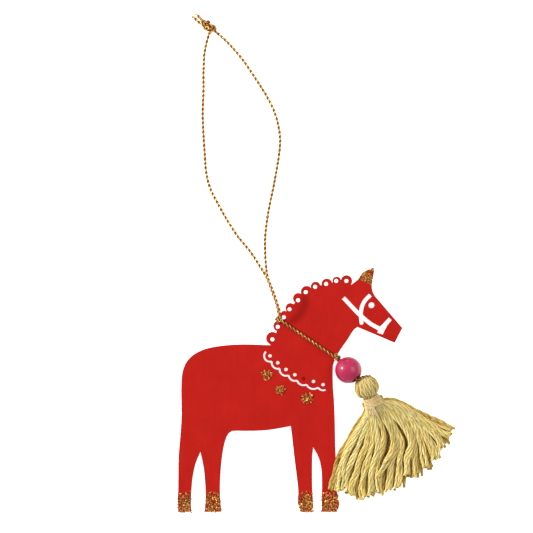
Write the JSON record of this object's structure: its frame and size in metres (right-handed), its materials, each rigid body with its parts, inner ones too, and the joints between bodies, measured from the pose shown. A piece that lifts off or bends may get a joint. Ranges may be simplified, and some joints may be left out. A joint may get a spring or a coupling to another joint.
{
  "type": "dala horse ornament",
  "caption": "Flat cut-out horse ornament with pierced mane and bridle, hung from a twisted cord loop, with a bead and a tassel at its throat.",
  "frame": {"origin": "middle of the underside of the horse, bead and tassel as they lie flat on their backs, without the hanging loop", "axes": "+Z out of the painted front, away from the surface; +X towards the horse's nose; +Y from the soles to the ear"},
  "size_m": [0.1034, 0.1878, 0.01],
  "materials": {
    "red_paint": "matte red paint on thin sheet, thick and rounded at the cut edges",
    "gold_glitter": "gold craft glitter glued on, metallic flakes with red showing between them",
    "gold_cord": "twisted two-ply gold metallic cord",
    "pink_bead": "glossy pink paint on turned wood",
    "straw_yarn": "twisted straw-coloured cotton yarn",
    "binding_thread": "wound yarn, slightly pinker than the skirt"
  },
  "bodies": {
    "horse": {"horse_board": "red_paint", "hoof_glitter_1": "gold_glitter", "hoof_glitter_2": "gold_glitter", "hoof_glitter_3": "gold_glitter", "hoof_glitter_4": "gold_glitter", "ear_glitter": "gold_glitter", "glitter_dot_1": "gold_glitter", "glitter_dot_2": "gold_glitter", "glitter_dot_3": "gold_glitter", "nape_knot": "gold_cord", "throat_knot": "gold_cord", "neck_cord_front": "gold_cord", "neck_cord_back": "gold_cord"},
    "loop": {"loop_leg_left": "gold_cord", "loop_leg_right": "gold_cord", "loop_knot": "gold_cord", "loop_tail_1": "gold_cord", "loop_tail_2": "gold_cord"},
    "tassel": {"tassel_cord": "gold_cord", "tassel_stop_knot": "gold_cord", "tassel_head": "straw_yarn", "tassel_binding": "binding_thread", "tassel_skirt": "straw_yarn"},
    "bead": {"bead": "pink_bead"}
  },
  "joints": [
    {"name": "loop_swing", "type": "hinge", "parent": "horse", "child": "loop", "pos_m": [-0.0139, 0.02659, 0.00287], "axis": [0, 0, 1], "range_deg": [0, 75]},
    {"name": "tassel_swing", "type": "hinge", "parent": "horse", "child": "tassel", "pos_m": [0.00885, 0.01123, 0.003], "axis": [0, 0, 1], "range_deg": [0, 40]},
    {"name": "bead_spin", "type": "hinge", "parent": "tassel", "child": "bead", "pos_m": [0.01229, 0.00747, 0.005], "axis": [0.629, -0.6864, 0.3651], "continuous": true}
  ]
}
